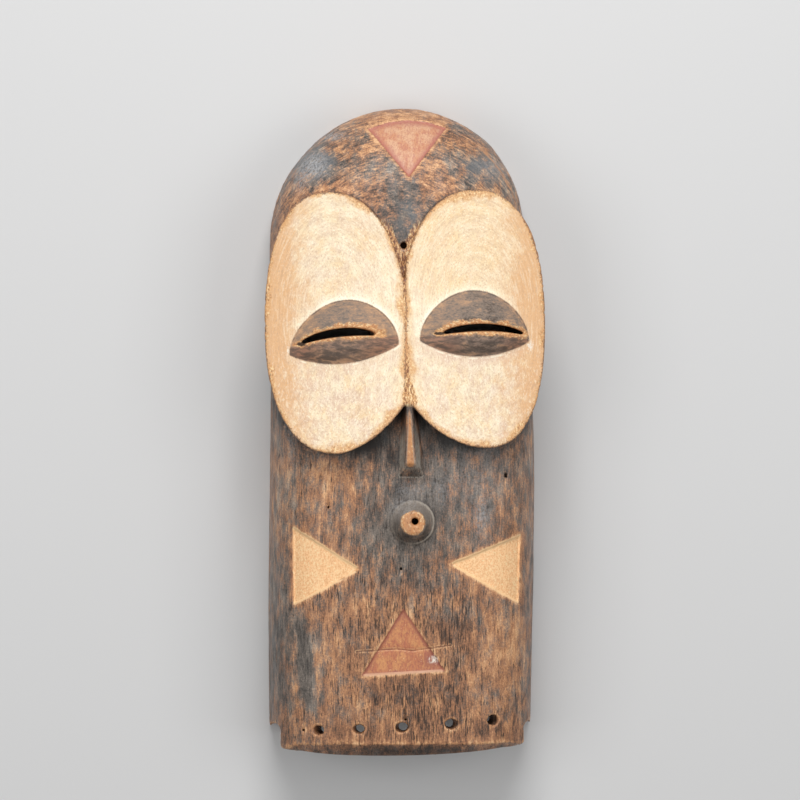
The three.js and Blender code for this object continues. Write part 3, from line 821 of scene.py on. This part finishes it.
def kaolinFinish(notes):
    look = kaolinLook
    noise = speckles(kaolinGrain)
    x, y, _ = axes(place)
    away = calc("ABSOLUTE", x)
    grime, flecks = noise["grime"], noise["flecks"]
    low = band(y, *look["low"])
    strokes = mixed(low, stroked((3.5, 3.5, 0.85), 4), noise["dabs"])
    fine = mixed(0.5, stroked((22, 22, 1.7), 2), noise["dots"])

    rose = times(band(noise["rose"], 0.38, 0.64), stack(0.5, (low, 0.3)))
    glow = stack(0.0, (band(notes["lid"], -8, -1.5), 0.5), (band(notes["lid"], -3.2, -1.2), 0.45))
    glow = times(glow, band(notes["upper"], -5, 6))
    smudge = times(band(notes["lid"], -10, -2), band(notes["upper"], 0, -2),
                   band(x, -0.02, 0.03, 0.35, 0.8))
    foot = times(band(notes["ridge"], 15, 3, 0, 0.6), band(y, 0.05, 0.02))
    # The discs' outer sides go tan, with worn pigment and painted shade
    outer = stack(-0.038, (away, 1.0), (grime, 0.045), (noise["sweep"], 0.03))
    outer = band(outer, look["outerFrom"], look["outerTo"], 0, look["outer"])
    scratch = mixed(low, look["highScratch"], look["lowScratch"])
    stroke = mixed(low, look["highStroke"], look["lowStroke"])
    sill = times(near(stack(1.2, (notes["lid"], 1.0)), 0, 0.9), band(notes["upper"], 0, -2))

    # The rim is rubbed to bare wood, widest at the left disc's foot
    spread = times(band(notes["ridge"], 28, 14), band(y, 0.022, 0.012), band(x, 0.003, 0))
    rim = stack(-15.0, (notes["disc"], 1.0), (grime, 10.0), (noise["sweep"], 20.0), (spread, -5.0))
    rim = band(rim, 5, 0.5, 0, look["rim"])
    nick = stack(5.5, (notes["disc"], 1.0), (grime, -4.0), (flecks, -7.0))
    return coated("kaolin", [
        ("kaolinGold", band(noise["gold"], 0.36, 0.7, 0, 0.8)),
        ("kaolinRose", rose),
        ("kaolinBright", band(noise["white"], 0.42, 0.72, 0, 0.42)),
        ("kaolinBright", times(glow, band(grime, 0.3, 0.5, 0.5, 1))),
        # Painted highlight near the ridge, where the bowed discs face the light most
        ("kaolinBright", times(band(away, 0.03, 0.012), band(y, 0.12, 0.08), look["middle"])),
        ("kaolinGold", times(band(x, 0.002, 0.02), band(y, 0.07, 0.1), look["warmTop"])),
        ("kaolinRose", times(smudge, band(grime, 0.34, 0.54, 0.3, 1))),
        ("kaolinGold", plus(band(notes["ridge"], 7, 0.5, 0, 0.6), foot)),
        ("kaolinTan", outer),
        ("scratch", band(strokes, 0.52, 0.64, 0, scratch)),
        ("kaolinBright", band(strokes, 0.48, 0.36, 0, stroke)),
        ("scratch", band(fine, 0.53, 0.63, 0, look["fineScratch"])),
        ("kaolinBright", band(fine, 0.47, 0.37, 0, stack(look["fineLight"], (outer, -0.42)))),
        ("kaolinBright", times(sill, band(grime, 0.46, 0.6, 0, 0.7))),
        ("rimTan", rim),
        ("fleck", times(rim, band(flecks, 0.52, 0.62))),
        ("redBrown", times(rim, band(flecks, 0.43, 0.34, 0, look["rimDark"]))),
        ("redBrown", band(nick, 1.3, 0.2, 0, look["nick"])),
    ])


# The brown lids, each with a rubbed lip round its slit
lidGrain = {
    "strokes": ((8, 2.6, 5), 4, 0.62, 127, 0.4), "patches": ((9, 6, 8), 5, 0.66, 131),
    "hairs": ((1.6, 1.0, 1.4), 3, 0.66, 137), "flecks": ((1.6, 1.2, 1.4), 3, 0.65, 139),
}
lidTone = {"start": -0.44, "strokes": 0.6, "patches": 0.8, "hairs": 0.7, "middle": -0.12, "right": -0.12,
           "rim": 0.1}
lidRed = {"start": 0.75, "middle": -0.45, "patches": -0.5, "strokes": 0.3, "right": -0.1}
lidLip = {"start": -2.6, "slit": 1.0, "above": 1.0, "hairs": 2.0, "patches": 9.0, "strokes": -7.0}
# Painted shade carries the ends of the slits further, as dark as the open slits: x, y, half width, half
# height in mm
slitEnds = [(-71.0, 57.9, 3.6, 1.7), (23.2, 65.0, 4.5, 1.2)]


def lidFinish(notes):
    noise = speckles(lidGrain)
    strokes, patches, flecks = noise["strokes"], noise["patches"], noise["flecks"]
    x = axes(place)[0]
    upper = notes["upper"]
    layers = {
        **noise, "middle": plus(near(x, -0.044, 0.028), near(x, 0.052, 0.026)),
        "right": band(x, -0.001, 0.001), "rim": band(notes["lid"], 4, 0.6), "slit": notes["slit"],
        "above": band(upper, -1, 1, 1.6, 3.6),
    }
    below = band(upper, 1, -2)
    lip = coated("rimTan", [
        ("orangeWood", band(patches, 0.4, 0.6)),
        ("fleck", band(flecks, 0.5, 0.64, 0, 0.7)),
        ("lidRed", band(flecks, 0.46, 0.36, 0, 0.6)),
    ])
    skin = coated(ramp(layered(lidTone, layers), lidWood), [
        ("lidTan", band(plus(patches, times(strokes, 0.5)), 0.8, 0.95, 0, 0.3)),
        ("lidRed", times(below, layered(lidRed, layers))),
        ("lidDark", times(below, band(strokes, 0.62, 0.38, 0, 0.8))),
        (lip, band(layered(lidLip, layers), -1.2, 1.0)),
    ])
    # Painted shade at each slit's end
    for x, y, wide, tall in slitEnds:
        away = moved(place, (1 / wide / mm, 1 / tall / mm, 0), (-x / wide, -y / tall, 0))
        away = addNode("ShaderNodeVectorMath", {0: away}, operation="LENGTH").outputs["Value"]
        skin = blend(band(plus(away, flecks), 1.5, 1.2, 0, 0.95), skin, "burntAndShade")
    outline = near(stack(-1.1, (notes["lid"], 1.0), (flecks, 1.6)), 0.3, 0.7)
    outline = times(outline, band(patches, 0.58, 0.46, 0.1, 0.6), band(upper, 1, 5))
    return blend(outline, skin, "lidDark")


# The triangles: three paints, an offset for the noise, how wide the dark edge runs, how cloudy the paint is,
# how rare its pale specks are, and how strong a painted highlight lies on the walls that face the crown, and
# in which paint
inlayLooks = {
    "cheek": {"paints": ("cheek", "cheekDark", "cheekLight"), "offset": 201, "edge": 1.0, "cloudy": 0.5,
              "speck": 0.56, "sill": 0.7, "sillPaint": "cheekLight"},
    "chin": {"paints": ("chin", "chinDark", "chinWorn"), "offset": 223, "edge": 3.2, "cloudy": 1.0,
             "speck": 0.67, "sill": 0.7, "sillPaint": "browWearAndHighlight"},
    "brow": {"paints": ("brow", "browDark", "browWearAndHighlight"), "offset": 229, "edge": 5.0, "cloudy": 1.0,
             "speck": 0.68, "sill": 0, "sillPaint": "browWearAndHighlight"},
}


def inlayFinish(note, look):
    base, dark, worn = look["paints"]
    offset, cloudy, speck = look["offset"], look["cloudy"], look["speck"]
    grain = speckle((0.9, 4, 3), 4, 0.66, offset)
    cloud = speckle((6, 9, 9), 5, 0.66, offset + 7)
    specks = speckle((1.1, 1.3, 1.3), 2, 0.6, offset + 13)
    edge = band(stack(3.0, (note, 1.0), (cloud, -6.0)), look["edge"], 0)
    return coated(base, [
        (worn, band(cloud, 0.4, 0.6, 0, cloudy)),
        (dark, band(grain, 0.5, 0.64, 0, 1.0 - 0.55 * cloudy)),
        (worn, band(grain, 0.46, 0.34, 0, 0.5)),
        (dark, band(specks, 0.48, 0.38, 0, 1.1 - 0.7 * cloudy)),
        ("fleck", band(specks, speck, speck + 0.08, 0, 0.75)),
        (dark, times(edge, 0.8)),
    ])


# The rest of the face, with heights across the mask and out of it in m
faceGrain = {
    "rough": ((1.5, 3, 3), 4, 0.7, 5), "flecks": ((1.0, 2.6, 2.4), 3, 0.66, 29),
    "stub": ((7, 7, 9), 1, 0.5, 31), "end": ((1.6, 2.8, 2.6), 4, 0.66, 17),
    "endCloud": ((3, 6, 5), 3, 0.6, 19), "dust": ((0.9, 1.4, 1.3), 4, 0.7, 241),
    "cuts": ((2, 26, 8), 3, 0.6, 257), "gloss": ((6, 14, 10), 3, 0.6, 263),
    "fine": ((0.7, 7, 3), 3, 0.6, 23), "pores": ((0.8, 1.2, 1.2), 3, 0.6, 271),
}
faceLook = {
    "plate": (-4.5, -3), "facing": (0.1, 0.35), "fringeFoot": (0.086, 0.1), "fringeTop": (0.148, 0.134),
    "fringeSide": (0.03, 0.022), "fringe": 0.85, "ridgeTop": (0.121, 0.117), "ridgeFoot": (0.014, 0.018),
    "ridgeFlare": (0.038, 0.018), "ridge": 0.9, "noseTop": (0.108, 0.111), "flank": 0.6, "bowlLight": 0.55,
    "bowlShade": 0.5, "ring": 0.7, "stubTop": (0.107, 0.109), "crack": 0.8, "glint": 0.6, "chalk": 0.85,
    "shine": (0.42, 0.6), "kaolinRough": 0.78, "specular": 0.4, "bump": 0.4, "bumpDepth": 0.0004,
}


def paintFringe(skin, notes):
    look, x, y, flecks = faceLook, notes["x"], notes["y"], notes["flecks"]
    side, edge = look["fringeSide"]
    vee = times(band(y, *look["fringeFoot"]), band(y, *look["fringeTop"]))
    vee = times(vee, times(band(x, -side, -edge), band(x, side, edge)))
    frayed = band(stack(-3.0, (notes["disc"], 1.0), (notes["rough"], 6.0)), -4.8, -3.2)
    fringe = coated("redBrown", [
        ("rimTan", band(flecks, 0.42, 0.54)),
        ("fleck", band(flecks, 0.56, 0.64)),
    ])
    return blend(times(vee, frayed, look["fringe"]), skin, fringe)


def paintRidge(skin, notes):
    look, y = faceLook, notes["y"]
    flare = band(y, *look["ridgeFlare"])
    wide = stack(0.7, (band(y, 0.098, 0.108), 1.0), (band(y, 0.054, 0.046), 0.4), (flare, 4.2),
                 (notes["ragged"], 1.3), (notes["ridge"], -1.0))
    ends = times(band(y, *look["ridgeTop"]), band(y, *look["ridgeFoot"]))
    light = stack(0.0, (notes["flecks"], 1.0), (flare, 0.06), (near(y, 0.079, 0.01), 0.06),
                  (near(y, 0.11, 0.01), -0.04))
    ridge = coated("redBrown", [
        ("rimTan", band(light, 0.42, 0.56)),
        ("fleck", band(light, 0.57, 0.66)),
        ("orangeWood", near(y, 0.06, 0.014, 0.7)),
    ])
    return blend(times(band(wide, -0.4, 0.5), ends, look["ridge"]), skin, ridge)


# The nose's planes are rubbed pale, and its crest is worn end grain
def paintNose(skin, worn, notes):
    look, y, z, rough = faceLook, notes["y"], notes["z"], notes["rough"]
    planes = times(band(notes["nose"], -4.8, -3.6), band(notes["nose"], -0.5, -1.2))
    planes = times(planes, band(y, 0.004, -0.012), band(y, -0.029, -0.025),
                   band(z, 0.088, 0.09), band(rough, 0.3, 0.6, 0.3, 0.9))
    crest = stack(-0.3, (notes["nose"], 1.0), (notes["ragged"], 1.0), (band(y, 0.008, 0.018), -1.2))
    flank = band(plus(notes["flank"], notes["ragged"]), 1.0, 0.1, 0, look["flank"])
    return coated(skin, [
        ("worn", planes),
        (blend(near(notes["nose"], 0.3, 0.8, 0.6), worn, "ash"),
         times(band(crest, -0.6, 0.4), band(z, *look["noseTop"]))),
        ("paleAsh", times(flank, band(rough, 0.38, 0.55))),
    ])


# The cone round the mouth has a painted highlight above and painted shade below, and the stub is worn end
# grain
def paintMouth(skin, worn, notes):
    look, x, y, away = faceLook, notes["x"], notes["y"], notes["mouth"]
    bowl = times(band(away, 15, 13.5), band(away, 7.5, 9))
    ring = near(plus(away, times(notes["ragged"], 0.6)), mouth["foot"] - 0.4, 0.9)
    lit = band(stack(0.0, (x, 60.0), (notes["rough"], 1.2)), 0.6, 1.7, 0.1, look["ring"])
    stub = stack(-1.5, (away, 1.0), (notes["ragged"], 1.2), (notes["stub"], 3.0))
    rim = times(near(stub, 7.6, 0.9), band(notes["flecks"], 0.45, 0.6, 0, 0.6))
    return coated(skin, [
        # Painted highlight on the cone's upper side, painted shade on its lower side
        ("ash", times(bowl, band(y, -0.075, -0.055, 0, look["bowlLight"]))),
        ("sootAndShade", times(bowl, band(y, -0.068, -0.078, 0, look["bowlShade"]))),
        ("paleAsh", times(ring, lit)),
        (blend(rim, worn, "fleck"), times(band(stub, 8.8, 7.8), band(notes["z"], *look["stubTop"]))),
    ])


def paintInlays(skin, notes):
    for name, look in inlayLooks.items():
        fill = inlayFinish(notes[name], look)
        if name == "chin":
            bruised = stack(0.0, (notes["bruise"], 0.6), (notes["rough"], 0.8))
            fill = blend(band(bruised, 0.55, 0.95, 0, 0.7), fill, "chinDark")
        edge = plus(notes[name], times(notes["ragged"], 0.7))
        skin = blend(band(edge, -0.4, 0.4), skin, fill)
        # Painted highlight on the triangle's walls that face the crown
        sill = times(band(notes[name], -1.6, -0.6), band(notes[name], 1.6, 0.8),
                     band(notes["raised"], 0.12, 0.4, 0, look["sill"]))
        skin = blend(sill, skin, look["sillPaint"])
        if name == "cheek":
            # Painted light on the cheek's upper walls, which lie in shade
            shaded = times(band(edge, -2.2, -1.2), band(notes["raised"], -0.1, -0.3, 0, 0.8))
            skin = blend(shaded, skin, "cheekLight")
    return skin


def paintFace(noted):
    look = faceLook
    shader = tree.nodes["Principled BSDF"]
    notes = {name: readNote(name) for name in noted}
    notes["x"], notes["y"], notes["z"] = axes(place)
    _, notes["raised"], notes["facing"] = axes(addNode("ShaderNodeNewGeometry").outputs["Normal"])
    notes.update(speckles(faceGrain))
    notes["ragged"] = stack(-1.25, (notes["rough"], 2.5))
    rough, flecks = notes["rough"], notes["flecks"]

    skin = paintFringe(woodFinish(notes), notes)
    onPlate = band(notes["plate"], *look["plate"])
    onDisc = band(plus(notes["disc"], notes["ragged"]), -0.4, 0.4)
    onDisc = times(onDisc, onPlate, band(notes["facing"], *look["facing"]))
    skin = blend(onDisc, skin, kaolinFinish(notes))
    skin = paintRidge(skin, notes)
    onLid = band(stack(0.0, (notes["lid"], 1.0), (notes["ragged"], 0.45)), -0.5, 0.5)
    skin = blend(times(onLid, onPlate), skin, lidFinish(notes))

    worn = coated("orangeWood", [
        ("bareWood", band(notes["endCloud"], 0.4, 0.6)),
        ("fleck", band(notes["end"], 0.55, 0.68, 0, 0.55)),
        ("redBrown", band(notes["end"], 0.44, 0.34, 0, 0.7)),
    ])
    skin = paintNose(skin, worn, notes)
    skin = paintMouth(skin, worn, notes)
    skin = paintInlays(skin, notes)

    glint = near(stack(-0.9, (notes["crack"], 1.0)), 0, 0.5, look["glint"])
    dusty = times(notes["dust"], notes["chalk"], band(notes["facing"], 0.1, 0.4))
    skin = coated(skin, [
        ("redBrown", times(near(notes["crack"], 0, 0.7, look["crack"]), band(rough, 0.3, 0.5))),
        ("paleWood", times(glint, band(flecks, 0.42, 0.56))),
        ("chalk", band(dusty, 0.3, 0.5, 0, look["chalk"])),
        (blend(band(notes["cuts"], 0.35, 0.65), "hollowWood", "hollowDark"), notes["inside"]),
    ])
    tree.links.new(skin, shader.inputs["Base Color"])

    shine = band(notes["gloss"], 0.35, 0.65, *look["shine"])
    tree.links.new(mixed(onDisc, shine, look["kaolinRough"]), shader.inputs["Roughness"])
    shader.inputs["Specular IOR Level"].default_value = look["specular"]
    relief = {"Height": mixed(onDisc, notes["fine"], notes["pores"]), "Strength": look["bump"],
              "Distance": look["bumpDepth"]}
    tree.links.new(addNode("ShaderNodeBump", relief).outputs[0], shader.inputs["Normal"])


mask = roughOut(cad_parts["mask"])
fairCurves(mask)
sculpt(mask)
drillPinHoles(mask)
thinOut(mask)
paintFace(noteZones(mask))
mask.data.materials.clear()
mask.data.materials.append(paintedWood)
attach(mask, "root")
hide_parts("mask")
print("mask painted")

# The place it lies in
studio = {"floor": 6.0, "floorColour": (0.62, 0.62, 0.62, 1), "sky": 0.3}
lamps = [
    {"name": "keyLamp", "at": (0, 1.25, 1.35), "size": 0.9, "power": 23},
    {"name": "rightLamp", "at": (1.0, -0.1, 1.5), "size": 0.9, "power": 7},
    {"name": "leftLamp", "at": (-1.0, -0.1, 1.5), "size": 0.9, "power": 7},
]
camera = {"at": (-0.0648, 0.01975, 2.45), "look": (-0.00107, 0.01975, 0), "across": 0.569}


def layFloor():
    bpy.ops.mesh.primitive_plane_add(size=studio["floor"], location=(0, 0, 0))
    floor = bpy.context.object
    floor.name = "floor"
    paper = bpy.data.materials.new("paleFloor")
    paper.use_nodes = True
    shader = paper.node_tree.nodes["Principled BSDF"]
    shader.inputs["Base Color"].default_value = studio["floorColour"]
    shader.inputs["Roughness"].default_value = 0.9
    floor.data.materials.append(paper)


def setLamps():
    world = bpy.data.worlds.new("studio")
    world.use_nodes = True
    sky = world.node_tree.nodes["Background"].inputs
    sky["Color"].default_value = (1, 1, 1, 1)
    sky["Strength"].default_value = studio["sky"]
    bpy.context.scene.world = world
    for lamp in lamps:
        bpy.ops.object.light_add(type="AREA", location=lamp["at"])
        made = bpy.context.object
        made.name = lamp["name"]
        made.data.size = lamp["size"]
        made.data.energy = lamp["power"]
        made.rotation_euler = (-Vector(lamp["at"])).to_track_quat("-Z", "Y").to_euler()


def setCamera():
    bpy.ops.object.camera_add(location=camera["at"])
    made = bpy.context.object
    way = Vector(camera["look"]) - Vector(camera["at"])
    made.rotation_euler = (0, math.atan2(way.x, way.z) - math.pi, 0)
    made.data.lens = made.data.sensor_width * way.length / camera["across"]
    bpy.context.scene.camera = made


layFloor()
setLamps()
setCamera()
bpy.context.scene.view_settings.view_transform = "Standard"
print("studio set")
